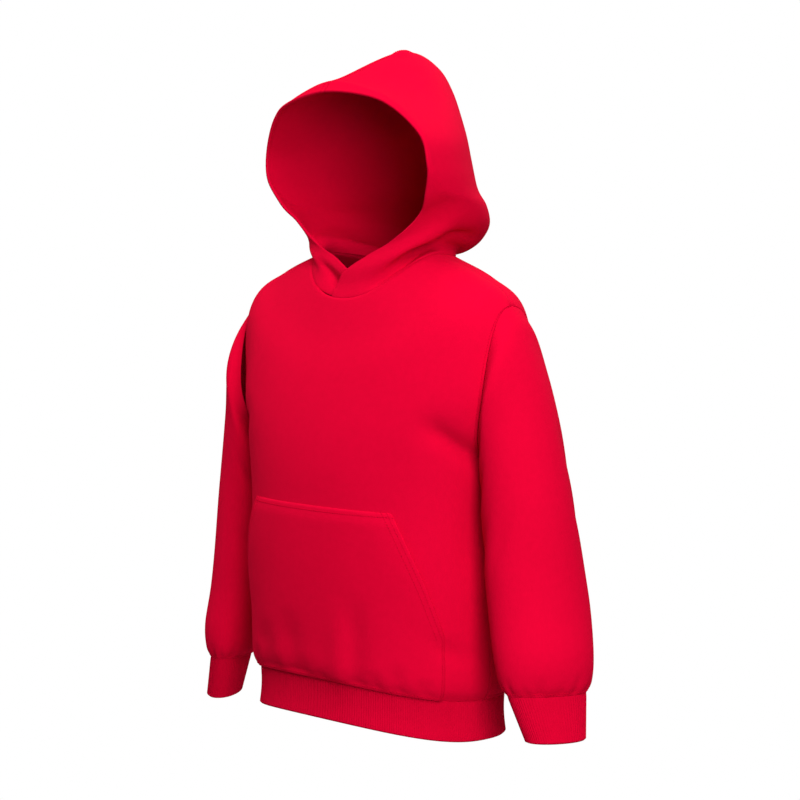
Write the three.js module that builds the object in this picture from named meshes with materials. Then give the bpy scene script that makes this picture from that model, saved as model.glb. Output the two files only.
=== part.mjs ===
// A child's pullover hoodie, size 7 to 8 years, in the shape it has when worn, with no wearer in it.
// Millimetres, +Z up, the front faces -Y and the wearer's left is +X.
// The origin is the middle of the neck, level with the inner ends of the two shoulder seams.
import * as THREE from "three";

// Cloth thicknesses and sewing gaps.
const clothWall = 2;
const doubleWall = 3; // the hood, the cuffs and the waistband are two layers of cloth
const seamGap = 0.3;
const bandGap = 0.45; // where a band or the hood meets the body
const sleeveGap = 0.55; // measured across, where the sleeve leaves the armhole at a slant

// Heights of the two bands of ribbing, how far the waistband draws in at its middle, and the ribs on them.
const cuffDepth = 42;
const waistbandDepth = 38;
const waistDraw = 1.2;
const ribPitch = 4.4;
const ribHeight = 0.6;

// How the armhole opens the side of the body, and how far the hood's fronts cross at the throat.
const armholeFrontAngle = 24;
const armholeBackAngle = 28;
const throatCross = 98;
const crossInset = 4.2;
const headCentre = new THREE.Vector3(0, 0, 60);

// The whole body hangs a little lower on the wearer's left: how far for each millimetre to the left. The
// ends of the sleeves lean the other way, by this share of it.
const lean = 0.045;
const cuffLean = -0.3;

// The body's level rings, from the waistband up to the neck seam. Each row gives the half width, the middle's
// y, the depths in front of and behind it, the heights at the side, front and back, and how square it is.
const bodyRings = [
  { half: 137, mid: 0, front: 97, back: 90, side: -432, frontZ: -420, backZ: -432, square: 2.3 },
  { half: 143, mid: 0, front: 102, back: 97, side: -418, frontZ: -407, backZ: -418, square: 2.3 },
  { half: 144, mid: 0, front: 103, back: 99, side: -386, frontZ: -378, backZ: -386, square: 2.3 },
  { half: 146, mid: 0, front: 105, back: 99, side: -313, frontZ: -309, backZ: -313, square: 2.3 },
  { half: 147, mid: 0, front: 104, back: 98, side: -247, frontZ: -247, backZ: -247, square: 2.3 },
  { half: 156, mid: 0, front: 102, back: 97, side: -200, frontZ: -208, backZ: -200, square: 2.25 },
  { half: 182, mid: 0, front: 96, back: 96, side: -130, frontZ: -165, backZ: -150, square: 2.05 },
  { half: 170, mid: 1, front: 86, back: 90, side: -49, frontZ: -121, backZ: -97, square: 2.1 },
  { half: 128, mid: 3, front: 74, back: 80, side: -20, frontZ: -83, backZ: -46, square: 2.2 },
  { half: 77, mid: 4, front: 64, back: 58, side: 0, frontZ: -47, backZ: -8, square: 2.3 },
];
const armpitRing = 5;
const shoulderRing = 7;
const neckRing = bodyRings.length - 1;

// The hood's rings, from the neck seam up to the crown seam. start is the angle where the ring leaves the
// edge of the face opening (90 is the throat, 0 the side), arch lifts the ring's middle over the head, and
// late says how far from the ring's ends that lift begins.
const hoodKeys = ["half", "mid", "front", "back", "side", "frontZ", "backZ", "square", "start", "arch", "late"];
const namedRing = (row) => Object.fromEntries(hoodKeys.map((key, k) => [key, row[k]]));
const hoodRings = [
  { ...bodyRings[neckRing], start: throatCross, arch: 0, late: 1.3 },
  ...[
    [75, 4, 60, 66, 10, -34, -2, 2.3, 95, 0, 1.3],
    [86, 4, 58, 82, 15, -18, 0, 2.3, 89, 0, 1.3],
    [94, 8, 57, 92, 22, -5, 10, 2.3, 76, 0, 1.3],
    [101, 10, 58, 95, 32, 3, 28, 2.3, 61, 0, 1.3],
    [107, 0, 54, 93, 46, 13, 50, 2.3, 40, 0, 1.3],
    [111, -26, 38, 105, 57, 27, 70, 2.35, 27, 0, 1.3],
    [113, -47, 32, 118, 78, 78, 100, 2.4, 10, 0, 1.3],
    [108, -54, 28, 119, 107, 101, 130, 2.4, 8, 3, 1.8],
    [84, -65, 29, 135, 136, 131, 162, 2.4, 12, 13, 2.4],
    [54, -73, 31, 143, 150, 147, 179, 2.4, 12, 26, 2],
    [0, -77, 31, 148, 157, 157, 184, 2.4, 12, 37, 1.35],
  ].map(namedRing),
];

// The left sleeve's rings below the armhole. deep is half its size from front to back, wide half its size
// across; tilt lifts the outer side and yaw turns the ring about the vertical.
const sleeveRings = [
  { x: 175, y: -2, z: -146, deep: 47, wide: 58, tilt: 75, yaw: 0 },
  { x: 180.5, y: 0, z: -190, deep: 46, wide: 44, tilt: 50, yaw: 8 },
  { x: 187.5, y: 2, z: -245, deep: 47, wide: 37.5, tilt: 14, yaw: 18 },
  { x: 197, y: 2, z: -312, deep: 50, wide: 36, tilt: 4, yaw: 25 },
  { x: 203, y: 2, z: -352, deep: 51, wide: 36, tilt: 3, yaw: 26 },
  { x: 211, y: -2, z: -391, deep: 49.5, wide: 34, tilt: 2, yaw: 28 },
  { x: 215, y: -4, z: -415, deep: 46, wide: 28.5, tilt: 1, yaw: 29 },
  { x: 218, y: -6, z: -426, deep: 39.5, wide: 20, tilt: 0, yaw: 30 },
];
const cuffTop = sleeveRings[sleeveRings.length - 1];
const cuffEnd = { ...cuffTop, x: 228.5, z: cuffTop.z - cuffDepth, deep: 30, wide: 18 };

// Soft creases that the cloth hangs in, seen from the front or back: from one end to the other, how wide
// and how deep. A negative depth is a trough.
const frontCreases = [
  { x1: 112, z1: -146, x2: 156, z2: -198, width: 19, depth: -5.5 },
  { x1: -112, z1: -146, x2: -156, z2: -198, width: 19, depth: -5.5 },
  { x1: -30, z1: -340, x2: -24, z2: -428, width: 15, depth: -3.5 },
  { x1: -5, z1: -345, x2: -2, z2: -428, width: 15, depth: 2.5 },
  { x1: -76, z1: -365, x2: -68, z2: -428, width: 17, depth: -2.5 },
  { x1: 54, z1: -375, x2: 48, z2: -428, width: 18, depth: -2.5 },
];
const backCreases = [
  { x1: 110, z1: -150, x2: 156, z2: -200, width: 19, depth: -5 },
  { x1: -114, z1: -144, x2: -156, z2: -200, width: 20, depth: -5.5 },
  { x1: 32, z1: -345, x2: 26, z2: -428, width: 18, depth: -3 },
  { x1: -54, z1: -360, x2: -48, z2: -428, width: 17, depth: -3 },
];

// The kangaroo pocket: where its top lies between the body's rings, where its slanted hand openings end,
// its half widths as angles round the body, how far the openings stand off the front, and the gap elsewhere.
const pocket = { top: 3.92, openingEnd: 2.25, topAngle: 36, lowAngle: 63, lift: 2.6, clear: 0.35 };
const sidePanelAngle = 48; // half the angle that the pocket's columns take higher up the front

// How finely the cloth is divided.
const panelColumns = 28;
const pocketInset = 7; // columns of the front on each side of the pocket
const lowerRows = [0, 0.5, 1, 1.5, pocket.openingEnd, 2.7, 3.1, 3.5, pocket.top, 4.25, 4.6];
const armholeSteps = 10;
const shoulderRows = [7.5, 8, 8.5, 9];
const sleeveRows = [0, 0.5, 1, 1.5, 2, 2.5, 3, 3.5, 4, 5, 5.5, 6, 6.5, 7, 7.5, 8];
const hoodRows = [0, 0.5, 1, 1.5, 2, 2.5, 3, 3.5, 4, 4.5, 5, 5.5, 6, 7, 8, 8.5, 9, 9.5, 10, 10.5, 11];
const hoodColumns = 13;

const red = new THREE.Color("#e0002f");
const radians = THREE.MathUtils.degToRad;
const smooth = THREE.MathUtils.smoothstep;

// A smooth curve through a row of numbers: at is counted in rows.
function splineThrough(values, at) {
  const i = Math.min(Math.max(Math.floor(at), 0), values.length - 4);
  const t = at - i;
  const [a, b, c, d] = values.slice(i, i + 4);
  return b + 0.5 * t * (c - a + t * (2 * a - 5 * b + 4 * c - d + t * (3 * (b - c) + d - a)));
}

// The rows with one more at each end, so that a spline can run through all of them. Over a middle seam, the
// row past the end is the last but one with its half width turned over.
function extended(rows, overSeam) {
  const past = (end, next) =>
    Object.fromEntries(Object.keys(end).map((key) => [key, 2 * end[key] - next[key]]));
  const last = rows[rows.length - 1];
  const beforeLast = rows[rows.length - 2];
  const over = overSeam ? { ...beforeLast, half: -beforeLast.half } : past(last, beforeLast);
  return [past(rows[0], rows[1]), ...rows, over];
}

const bodyTable = extended(bodyRings, false);
const hoodTable = extended(hoodRings, true);

function ringAt(table, at) {
  const ring = {};
  for (const key of Object.keys(table[0])) {
    ring[key] = splineThrough(table.map((row) => row[key]), at);
  }
  return ring;
}

const signedPower = (value, power) => Math.sign(value) * Math.abs(value) ** power;

// A point on a ring: angle 0 is the left side, 90 the front, 180 the right side and -90 the back.
function ringPoint(ring, angle) {
  const c = Math.cos(radians(angle));
  const s = Math.sin(radians(angle));
  const power = 2 / ring.square;
  const depth = s > 0 ? ring.front : ring.back;
  const endZ = s > 0 ? ring.frontZ : ring.backZ;
  return new THREE.Vector3(
    ring.half * signedPower(c, power),
    ring.mid - depth * signedPower(s, power),
    ring.side + (endZ - ring.side) * s * s,
  );
}

// The outward normal of a surface given as a function of two values, turned to agree with outward.
function normalOf(surface, a, b, stepA, stepB, outward) {
  const alongA = surface(a + stepA, b).sub(surface(a - stepA, b));
  const alongB = surface(a, b + stepB).sub(surface(a, b - stepB));
  const normal = alongA.cross(alongB).normalize();
  return normal.dot(outward) < 0 ? normal.negate() : normal;
}

// How far the creases move a point of the front or back, out of the cloth.
function creaseAt(creases, x, z) {
  let moved = 0;
  for (const crease of creases) {
    const dx = crease.x2 - crease.x1;
    const dz = crease.z2 - crease.z1;
    const along = ((x - crease.x1) * dx + (z - crease.z1) * dz) / (dx * dx + dz * dz);
    const t = Math.min(Math.max(along, 0), 1);
    const away = Math.hypot(x - crease.x1 - t * dx, z - crease.z1 - t * dz) / crease.width;
    const taper = smooth(t, 0, 0.5);
    moved += crease.depth * taper * Math.exp(-away * away);
  }
  return moved;
}

// The body's surface before it has creases, and with them. Above the shoulder it faces up more than out.
const bareBody = (angle, at) => ringPoint(ringAt(bodyTable, at), angle);
const shoulderUp = 400;

function bodyNormal(angle, at) {
  const p = bareBody(angle, at);
  const outward = new THREE.Vector3(p.x, p.y, at > shoulderRing ? shoulderUp : 0);
  return normalOf(bareBody, angle, at, 0.5, 0.02, outward);
}

function bodyPoint(angle, at) {
  const p = bareBody(angle, at);
  const creases = Math.sin(radians(angle)) > 0 ? frontCreases : backCreases;
  const clearOfEnds = smooth(at, 0, 0.6);
  return p.addScaledVector(bodyNormal(angle, at), clearOfEnds * creaseAt(creases, p.x, p.z));
}

// The armhole: turn 0 is the armpit, 90 the front, 180 the top of the shoulder and 270 the back.
function armhole(turn) {
  const s = Math.sin(radians(turn));
  const at = armpitRing + ((shoulderRing - armpitRing) * (1 - Math.cos(radians(turn)))) / 2;
  return { at, angle: s > 0 ? armholeFrontAngle * s : armholeBackAngle * s };
}

// The faces between two rows of points, given by their numbers. The rows may hold different numbers of
// points. Turned faces look the other way and keep the same edges.
function strip(low, high, { round = false, turned = false } = {}) {
  const lows = round ? [...low, low[0]] : low;
  const highs = round ? [...high, high[0]] : high;
  const faces = [];
  let i = 0;
  let j = 0;
  while (i < lows.length - 1 || j < highs.length - 1) {
    const nextLow = (i + 1) / (lows.length - 1);
    const nextHigh = (j + 1) / (highs.length - 1);
    const takeLow = i < lows.length - 1 && (j === highs.length - 1 || nextLow <= nextHigh + 1e-9);
    const face = takeLow ? [lows[i], lows[i + 1], highs[j]] : [lows[i], highs[j + 1], highs[j]];
    faces.push(...(turned ? face.reverse() : face));
    i += takeLow ? 1 : 0;
    j += takeLow ? 0 : 1;
  }
  return faces;
}

// A wall of cloth from its outer and inner points: rows of points, open or closed round each row.
function wallGeometry(outer, inner, closed) {
  const points = [];
  const number = (rows) => rows.map((row) => row.map((p) => points.push(p.x, p.y, p.z) / 3 - 1));
  const outside = number(outer);
  const inside = number(inner);
  const faces = [
    ...outside.slice(1).map((row, k) => strip(outside[k], row, { round: closed })),
    ...inside.slice(1).map((row, k) => strip(inside[k], row, { round: closed, turned: true })),
    strip(inside[0], outside[0], { round: closed }),
    strip(outside.at(-1), inside.at(-1), { round: closed }),
  ];
  if (!closed) {
    const edge = (rows, end) => rows.map((row) => row.at(end));
    faces.push(strip(edge(outside, 0), edge(inside, 0)));
    faces.push(strip(edge(inside, -1), edge(outside, -1)));
  }
  const geometry = new THREE.BufferGeometry();
  geometry.setAttribute("position", new THREE.Float32BufferAttribute(points, 3));
  geometry.setIndex(facingOut(points, faces.flat()));
  geometry.computeVertexNormals();
  return geometry;
}

// The faces, turned over if they enclose a negative volume.
function facingOut(points, faces) {
  const corner = (k) => new THREE.Vector3().fromArray(points, 3 * faces[k]);
  let volume = 0;
  for (let k = 0; k < faces.length; k += 3) {
    volume += corner(k).dot(corner(k + 1).cross(corner(k + 2)));
  }
  return volume > 0 ? faces : faces.reverse();
}

const inward = (p, normal, distance) => p.clone().addScaledVector(normal, -distance);

// Rows of points, hung lower on the left. share is how much of the lean they take, for all or row by row.
function leaning(rows, share) {
  return rows.map((row, k) => {
    const lowered = lean * (Array.isArray(share) ? share[k] : share);
    return row.map((p) => new THREE.Vector3(p.x, p.y, p.z - lowered * p.x));
  });
}

function makeMesh(name, geometry) {
  const cloth = new THREE.MeshStandardMaterial({ color: red, roughness: 0.92, metalness: 0 });
  const mesh = new THREE.Mesh(geometry, cloth);
  mesh.name = name;
  return mesh;
}

// The pocket's half width as an angle round the body. Above the pocket it goes on as the place of the same
// column of the front, so that the pocket's points lie over the front's own points.
function pocketReach(at) {
  if (at > pocket.top) {
    const above = smooth(at, pocket.top, shoulderRing);
    return pocket.topAngle + (sidePanelAngle - pocket.topAngle) * above;
  }
  return pocket.lowAngle + (pocket.topAngle - pocket.lowAngle) * pocketSlant(at);
}

// How far up its slanted opening a height on the pocket is: 0 at its lower end, 1 at its top.
const pocketSlant = (at) => Math.max(at - pocket.openingEnd, 0) / (pocket.top - pocket.openingEnd);

// The angle of one column of the front or back, where its side edge stands at edge.
function columnAngle(column, at, edge) {
  const fromSide = Math.min(column, panelColumns - column);
  const reach = pocketReach(at);
  const middleColumns = panelColumns / 2 - pocketInset;
  const angle = fromSide < pocketInset
    ? edge + ((90 - reach - edge) * fromSide) / pocketInset
    : 90 - reach + (reach * (fromSide - pocketInset)) / middleColumns;
  return column === fromSide ? angle : 180 - angle;
}

// One of the panel's points with its outward normal. facing is 1 in front and -1 behind.
function panelPoint(column, at, edge, facing) {
  const angle = facing * columnAngle(column, at, edge);
  const p = bodyPoint(angle, at);
  const normal = bodyNormal(angle, at);
  const onEdge = column === 0 || column === panelColumns;
  if (onEdge && edge < 1) {
    // At the side and shoulder seams the two panels stand a seam's gap apart.
    p.y -= (facing * seamGap) / 2;
    normal.setY(0).normalize();
  }
  if (at === 0) {
    normal.setZ(0).normalize();
  }
  return { p, normal };
}

// The front or the back of the body: one panel from the waistband to the shoulder seams and the neckline,
// cut away at each side by the armhole.
function makeBodyPanel(name, facing) {
  const rows = lowerRows.map((at) => ({ at, edge: 0 }));
  for (let k = 0; k <= armholeSteps; k += 1) {
    const { at, angle } = armhole((facing * 180 * k) / armholeSteps);
    rows.push({ at, edge: Math.abs(angle) });
  }
  shoulderRows.forEach((at) => rows.push({ at, edge: 0 }));
  const outer = [];
  const inner = [];
  for (const { at, edge } of rows) {
    const columns = Array.from({ length: panelColumns + 1 }, (_, i) => panelPoint(i, at, edge, facing));
    outer.push(columns.map(({ p }) => p));
    inner.push(columns.map(({ p, normal }) => inward(p, normal, clothWall)));
  }
  return makeMesh(name, wallGeometry(leaning(outer, 1), leaning(inner, 1), false));
}

// A point on one of the sleeve's rings: turn 0 faces the body, 90 the front, 180 outwards and 270 the back.
function sleeveRingPoint(ring, turn) {
  const across = -ring.wide * Math.cos(radians(turn));
  const forward = ring.deep * Math.sin(radians(turn));
  const offset = new THREE.Vector3(
    across * Math.cos(radians(ring.tilt)),
    -forward,
    across * Math.sin(radians(ring.tilt)),
  );
  offset.applyAxisAngle(new THREE.Vector3(0, 0, 1), radians(-ring.yaw));
  return offset.add(new THREE.Vector3(ring.x, ring.y, ring.z));
}

// The left sleeve's surface: at is 0 on the armhole seam and counts its rings from there.
function sleevePoint(turn, at) {
  const { angle, at: bodyAt } = armhole(turn);
  const seam = bodyPoint(angle, bodyAt);
  seam.x += sleeveGap;
  const stations = [seam, ...sleeveRings.map((ring) => sleeveRingPoint(ring, turn))];
  const last = stations.length - 1;
  const before = stations[0].clone().multiplyScalar(2).sub(stations[1]);
  const after = stations[last].clone().multiplyScalar(2).sub(stations[last - 1]);
  const all = [before, ...stations, after];
  const part = (key) => splineThrough(all.map((p) => p[key]), at);
  return new THREE.Vector3(part("x"), part("y"), part("z"));
}

function sleeveNormal(turn, at) {
  const ring = sleeveRings[Math.min(Math.max(Math.round(at) - 1, 0), sleeveRings.length - 1)];
  const out = sleevePoint(turn, at).sub(new THREE.Vector3(ring.x, ring.y, ring.z));
  const inside = Math.min(Math.max(at, 0.03), sleeveRings.length - 0.03);
  return normalOf(sleevePoint, turn, inside, 1, 0.03, out);
}

// A sleeve: a tube from the armhole to the gathered edge above the cuff.
function sleeveWalls() {
  const outer = [];
  const inner = [];
  for (const at of sleeveRows) {
    const outerRow = [];
    const innerRow = [];
    for (let k = 0; k < 2 * armholeSteps; k += 1) {
      const turn = (180 * k) / armholeSteps;
      const p = sleevePoint(turn, at);
      const normal = sleeveNormal(turn, at);
      if (at === 0) {
        // Over the shoulder the sleeve's edge stands square to the body's, and they never cross.
        const shoulder = (1 - Math.cos(radians(turn))) / 2;
        const { angle, at: bodyAt } = armhole(turn);
        normal.lerp(bodyNormal(angle, bodyAt), shoulder).normalize();
      }
      if (at === sleeveRings.length) {
        normal.setZ(0).normalize();
      }
      outerRow.push(p);
      innerRow.push(inward(p, normal, clothWall));
    }
    outer.push(outerRow);
    inner.push(innerRow);
  }
  return { outer, inner };
}

// A band of rib knit: a closed wall with ribs on its outer points and a plain inside.
function ribbedWalls(pointAt, length, levels) {
  const ribs = Math.round(length / ribPitch);
  const plain = Math.ceil(ribs / 2);
  const loop = (count, level, offsetAt) => {
    const row = [];
    for (let k = 0; k < count; k += 1) {
      row.push(pointAt((360 * k) / count, level, offsetAt(k)));
    }
    return row;
  };
  const outer = levels.map((level) => loop(2 * ribs, level, (k) => (k % 2 ? 0 : -ribHeight)));
  const inner = [0, 1].map((level) => loop(plain, level, () => -doubleWall));
  return { outer, inner };
}

// The waistband: a tube below the front and back. level runs from its top to its hem.
const waistTop = bodyRings[0];
const waistHem = { ...waistTop, half: 138, front: 98, back: 91 };

function waistbandPoint(angle, level, offset) {
  const ring = {};
  for (const key of Object.keys(waistTop)) {
    ring[key] = waistTop[key] + (waistHem[key] - waistTop[key]) * level;
  }
  const waist = waistDraw * Math.sin(Math.PI * level);
  const drop = bandGap + waistbandDepth * level;
  for (const key of ["half", "front", "back"]) {
    ring[key] += offset - waist;
  }
  for (const key of ["side", "frontZ", "backZ"]) {
    ring[key] -= drop;
  }
  return ringPoint(ring, angle);
}

// The left cuff: a tube that narrows from the sleeve to the wrist.
function cuffPoint(turn, level, offset) {
  const ring = {};
  for (const key of Object.keys(cuffTop)) {
    ring[key] = cuffTop[key] + (cuffEnd[key] - cuffTop[key]) * level;
  }
  ring.z -= (1 - level) * bandGap;
  ring.deep += offset;
  ring.wide += offset;
  return sleeveRingPoint(ring, turn);
}

const loopLength = (pointAt) => {
  let length = 0;
  for (let angle = 0; angle < 360; angle += 5) {
    length += pointAt(angle).distanceTo(pointAt(angle + 5));
  }
  return length;
};

// The left half of the hood: across runs from the edge of the face opening to the back.
function hoodPoint(across, at) {
  const ring = ringAt(hoodTable, at);
  const p = ringPoint(ring, ring.start - (90 + ring.start) * across);
  p.z += ring.arch * Math.sin(Math.PI * Math.min(Math.max(across, 0), 1)) ** ring.late;
  return p;
}

// One half of the hood. The two meet at a seam over the crown and down the back, and cross at the throat,
// where the right one lies inside the left one.
function hoodWalls(insideAtThroat) {
  const outer = [];
  const inner = [];
  const crown = hoodRings.length - 1;
  for (const at of hoodRows) {
    const outerRow = [];
    const innerRow = [];
    for (let i = 0; i <= hoodColumns; i += 1) {
      const across = i / hoodColumns;
      const p = hoodPoint(across, at);
      const level = Math.min(Math.max(at, 0.02), crown - 0.02);
      const side = Math.min(Math.max(across, 0.01), 0.99);
      const away = hoodPoint(side, level).sub(headCentre);
      const normal = normalOf(hoodPoint, side, level, 0.01, 0.02, away);
      if (at === 0) {
        normal.setZ(0).normalize();
        p.z += bandGap;
      }
      if (i === hoodColumns || at === crown) {
        normal.setX(0).normalize();
        p.x = seamGap / 2;
      }
      if (insideAtThroat) {
        const nearThroat = smooth(-p.x, -46, -17) * smooth(-p.y, 10, 30) * smooth(-p.z, -45, -12);
        p.y += crossInset * nearThroat;
      }
      outerRow.push(p);
      innerRow.push(inward(p, normal, doubleWall));
    }
    outer.push(outerRow);
    inner.push(innerRow);
  }
  return { outer, inner };
}

// The kangaroo pocket, laid on the front: the front's own points, moved out from it.
function makePocket() {
  const outer = [];
  const inner = [];
  for (const at of lowerRows.filter((row) => row <= pocket.top)) {
    const standsOff = pocket.lift * Math.sin(Math.PI * pocketSlant(at));
    const outerRow = [];
    const innerRow = [];
    for (let column = pocketInset; column <= panelColumns - pocketInset; column += 1) {
      const { p, normal } = panelPoint(column, at, 0, 1);
      const side = Math.abs((2 * (column - pocketInset)) / (panelColumns - 2 * pocketInset) - 1);
      const clear = pocket.clear + standsOff * smooth(side, 0.4, 1);
      innerRow.push(inward(p, normal, -clear));
      outerRow.push(inward(p, normal, -clear - clothWall));
    }
    outer.push(outerRow);
    inner.push(innerRow);
  }
  return makeMesh("pocket", wallGeometry(leaning(outer, 1), leaning(inner, 1), false));
}

const mirrored = (rows) => rows.map((row) => row.map((p) => new THREE.Vector3(-p.x, p.y, p.z)));

// A piece for each side of the body: the left one, and its mirror image on the right. share gives how much
// of the body's lean each row takes.
function makePair(name, left, right, share, closed) {
  const walls = (outer, inner) => wallGeometry(leaning(outer, share), leaning(inner, share), closed);
  return [
    makeMesh(`${name}_left`, walls(left.outer, left.inner)),
    makeMesh(`${name}_right`, walls(mirrored(right.outer), mirrored(right.inner))),
  ];
}

const hoodie = new THREE.Group();
hoodie.add(makeBodyPanel("front", 1));
hoodie.add(makeBodyPanel("back", -1));
hoodie.add(makePocket());

const sleeve = sleeveWalls();
const sleeveLean = sleeveRows.map((at) => 1 + (cuffLean - 1) * smooth(at, 0, 3));
hoodie.add(...makePair("sleeve", sleeve, sleeve, sleeveLean, true));

const cuffLength = loopLength((turn) => cuffPoint(turn, 0.3, 0));
const cuff = ribbedWalls(cuffPoint, cuffLength, [0, 1]);
hoodie.add(...makePair("cuff", cuff, cuff, cuffLean, true));

const waistLength = loopLength((angle) => waistbandPoint(angle, 0.5, 0));
const waistband = ribbedWalls(waistbandPoint, waistLength, [0, 0.5, 1]);
const waistbandWall = wallGeometry(leaning(waistband.outer, 1), leaning(waistband.inner, 1), true);
hoodie.add(makeMesh("waistband", waistbandWall));

const hoodLean = hoodRows.map((at) => 1 - smooth(at, 0, 5));
hoodie.add(...makePair("hood", hoodWalls(false), hoodWalls(true), hoodLean, false));

export default hoodie;
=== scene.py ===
import math

import bpy
import numpy as np
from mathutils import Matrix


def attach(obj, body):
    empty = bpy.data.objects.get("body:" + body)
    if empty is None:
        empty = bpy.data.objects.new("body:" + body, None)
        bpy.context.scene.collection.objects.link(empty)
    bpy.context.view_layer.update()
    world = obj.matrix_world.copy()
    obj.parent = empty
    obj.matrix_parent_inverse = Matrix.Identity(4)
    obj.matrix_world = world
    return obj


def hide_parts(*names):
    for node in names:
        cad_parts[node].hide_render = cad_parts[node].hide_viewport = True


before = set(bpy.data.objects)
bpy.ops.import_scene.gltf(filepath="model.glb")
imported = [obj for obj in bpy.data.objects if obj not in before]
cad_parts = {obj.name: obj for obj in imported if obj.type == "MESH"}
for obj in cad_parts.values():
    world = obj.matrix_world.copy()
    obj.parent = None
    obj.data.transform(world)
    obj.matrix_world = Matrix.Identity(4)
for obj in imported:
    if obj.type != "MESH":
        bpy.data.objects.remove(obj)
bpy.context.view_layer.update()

# Front and back: two panels of brushed sweatshirt fleece, with its smooth red jersey face outside. Each is
# cut on the fold and sewn to the other down the sides and over the shoulders, so they make a tube that hangs
# round the trunk. Lengths are millimetres until a mesh is made, and places are in the frame's own axes.
millimetre = 0.001
fleece_wall = 2.0
seam_gap = -0.1  # the pieces overlap by a hair, so that no light shows through a seam
body_lean = 0.045  # how far the body hangs lower for each millimetre to the wearer's left
seam_press = 0.3  # how deep a seam pulls the cloth in beside it, and how wide
seam_press_width = 2.4
seam_press_inside = 0.6  # how much of that press shows on the inner side
fold_bulge = 0.45  # how far a folded edge bulges out, as a share of the cloth's thickness

# Level rings from the waistband to the neck: half width, middle, depth in front, depth behind, height at the
# side, in front and behind, squareness.
body_rings = [
    (137, 0, 97, 90, -432, -420, -432, 2.3),
    (143, 0, 102, 97, -418, -407, -418, 2.3),
    (144, 0, 103, 99, -386, -378, -386, 2.3),
    (146, 0, 105, 99, -313, -309, -313, 2.3),
    (147, 0, 104, 98, -247, -247, -247, 2.3),
    (156, 0, 102, 97, -200, -208, -200, 2.25),
    (182, 0, 96, 96, -130, -165, -150, 2.05),
    (170, 1, 86, 90, -49, -121, -97, 2.1),
    (128, 3, 74, 80, -20, -83, -46, 2.2),
    (77, 4, 64, 58, 0, -47, -8, 2.3),
]
armpit_ring, shoulder_ring, neck_ring = 5, 7, 9
armhole_front, armhole_back = 24, 28  # how far round the body the armhole reaches, in degrees

# Creases seen from in front or behind: x and z of one end and the other, width, depth out of the cloth, and 1
# where it fades at its first end or 2 where it fades at both.
side_creases = [
    (150, -206, 147, -330, 8, -5, 2),
    (-152, -212, -147, -300, 8, -4, 2),
]
front_creases = side_creases + [
    (112, -146, 156, -198, 19, -3, 1),
    (120, -156, 156, -198, 9, -4.5, 1),
    (-112, -146, -156, -198, 19, -3, 1),
    (-124, -158, -156, -198, 10, -4, 1),
    (-152, -62, -160, -196, 22, -7, 2),
    (58, -325, 54, -428, 12, -2.6, 1),
    (38, -330, 37, -428, 12, 2.2, 1),
    (-30, -350, -24, -428, 15, -3, 1),
    (-76, -365, -68, -428, 17, -2.5, 1),
    (122, -362, 143, -400, 7, -2.2, 2),
    (-95, -398, -93, -428, 6, -1.5, 1),
    (-52, -404, -50, -428, 5, -1.3, 1),
    (-8, -396, -9, -428, 6, -1.6, 1),
    (14, -406, 13, -428, 4.5, -1.2, 1),
    (74, -400, 76, -428, 5.5, -1.4, 1),
    (97, -392, 95, -428, 6.5, -1.6, 1),
    (118, -405, 116, -428, 5, -1.2, 1),
]
back_creases = side_creases + [
    (112, -146, 156, -198, 19, -3, 1),
    (118, -160, 156, -198, 9, -4.5, 1),
    (-112, -146, -156, -198, 19, -3, 1),
    (-116, -154, -156, -198, 10, -4, 1),
    (32, -345, 26, -428, 18, -3, 1),
    (-54, -360, -48, -428, 17, -3, 1),
    (-20, -150, 34, -176, 20, -2.2, 2),
    (104, -390, 101, -428, 7, -1.7, 1),
    (76, -402, 77, -428, 5, -1.3, 1),
    (52, -396, 50, -428, 6, -1.5, 1),
    (4, -404, 6, -428, 5, -1.2, 1),
    (-14, -392, -16, -428, 6.5, -1.6, 1),
    (-80, -400, -82, -428, 5.5, -1.4, 1),
    (-108, -394, -106, -428, 6, -1.5, 1),
]


def smooth_step(value, low, high):
    t = np.clip((value - low) / (high - low), 0, 1)
    return t * t * (3 - 2 * t)


def unit(vectors):
    return vectors / np.maximum(np.linalg.norm(vectors, axis=-1, keepdims=True), 1e-9)


def with_ends(rows, over=None):
    """The rows with one more at each end, so that a curve can run through all of them."""
    rows = np.array(rows, float)
    past = 2 * rows[-1] - rows[-2] if over is None else np.array(over, float)
    return np.concatenate([[2 * rows[0] - rows[1]], rows, [past]])


def row_at(table, at):
    """A smooth curve through a table's rows, at places counted in rows."""
    at = np.asarray(at, float)
    i = np.clip(np.floor(at).astype(int), 0, len(table) - 4)
    t = (at - i).reshape(at.shape + (1,) * (table.ndim - 1))
    a, b, c, d = (table[i + k] for k in range(4))
    return b + 0.5 * t * (c - a + t * (2 * a - 5 * b + 4 * c - d + t * (3 * (b - c) + d - a)))


def ring_point(ring, angle):
    """A point on a ring: 0 degrees is the left side, 90 the front, 180 the right side and -90 the back."""
    half, middle, front, back, side_z, front_z, back_z, square = np.moveaxis(ring[..., :8], -1, 0)
    c, s = np.cos(np.radians(angle)), np.sin(np.radians(angle))
    depth, end_z = np.where(s > 0, front, back), np.where(s > 0, front_z, back_z)
    x = half * np.sign(c) * np.abs(c) ** (2 / square)
    y = middle - depth * np.sign(s) * np.abs(s) ** (2 / square)
    return np.stack([x, y, side_z + (end_z - side_z) * s * s], -1)


crease_fade = 0.5  # over what share of its length a crease fades out


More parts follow.
